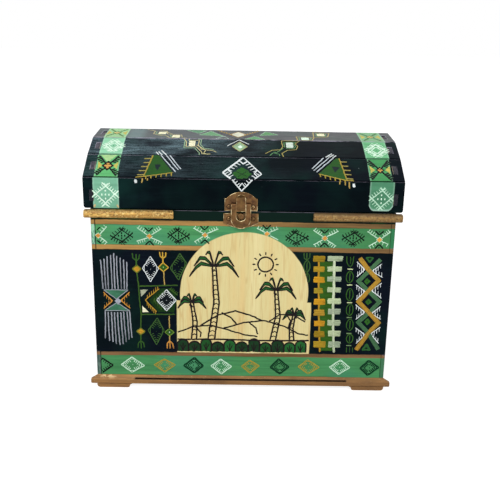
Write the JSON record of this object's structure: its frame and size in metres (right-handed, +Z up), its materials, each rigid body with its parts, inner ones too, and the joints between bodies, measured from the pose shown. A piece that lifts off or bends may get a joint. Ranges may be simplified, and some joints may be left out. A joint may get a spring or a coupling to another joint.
{
  "type": "jewelry chest",
  "caption": "Painted wooden jewelry chest with an arched lid of flat slats, hinged at the back and closed by a small hasp latch at the front.",
  "frame": {"origin": "on the resting plane under the middle of the chest's outer box", "axes": "+X to the right seen from the front, +Y from the front to the back, +Z up"},
  "size_m": [0.3006, 0.1822, 0.2407],
  "materials": {
    "painted_board": "near-black green brush-painted plywood under satin varnish, with painted bands and motifs",
    "bare_plywood": "unpainted pale plywood under clear varnish",
    "gold_paint": "hand-brushed gold paint with fine glitter, worn to brown",
    "aged_brass": "antiqued stamped brass, bright on the edges"
  },
  "bodies": {
    "body": {"front_panel": "painted_board", "back_panel": "painted_board", "left_panel": "painted_board", "right_panel": "painted_board", "bottom_panel": "bare_plywood", "plinth_moulding": "gold_paint", "rail_left": "gold_paint", "rail_right": "gold_paint", "foot_front_left": "gold_paint", "foot_front_right": "gold_paint", "foot_back_left": "gold_paint", "foot_back_right": "gold_paint", "latch_lower_plate": "aged_brass", "latch_lower_nail_left": "aged_brass", "latch_lower_nail_right": "aged_brass", "hinge_left_body_leaf": "aged_brass", "hinge_right_body_leaf": "aged_brass", "hinge_left_body_screw_1": "aged_brass", "hinge_left_body_screw_2": "aged_brass", "hinge_right_body_screw_1": "aged_brass", "hinge_right_body_screw_2": "aged_brass", "hinge_left_pin": "aged_brass", "hinge_right_pin": "aged_brass"},
    "lid": {"lid_end_left": "painted_board", "lid_end_right": "painted_board", "lid_front_board": "painted_board", "lid_slat_front_low": "painted_board", "lid_slat_front_high": "painted_board", "lid_slat_top": "painted_board", "lid_slat_back_high": "painted_board", "lid_slat_back_low": "painted_board", "lid_back_board": "painted_board", "latch_upper_plate": "aged_brass", "latch_pin": "aged_brass", "latch_upper_nail_left": "aged_brass", "latch_upper_nail_right": "aged_brass", "hinge_left_lid_leaf": "aged_brass", "hinge_right_lid_leaf": "aged_brass", "hinge_left_lid_screw_1": "aged_brass", "hinge_left_lid_screw_2": "aged_brass", "hinge_right_lid_screw_1": "aged_brass", "hinge_right_lid_screw_2": "aged_brass"},
    "hasp": {"latch_tongue": "aged_brass"}
  },
  "joints": [
    {"name": "lid_hinge", "type": "hinge", "parent": "body", "child": "lid", "pos_m": [0, 0.0891, 0.18625], "axis": [-1, 0, 0], "range_deg": [0, 105]},
    {"name": "hasp_swing", "type": "hinge", "parent": "lid", "child": "hasp", "pos_m": [-0.0025, -0.0896, 0.19265], "axis": [-1, 0, 0], "range_deg": [0, 150]}
  ]
}
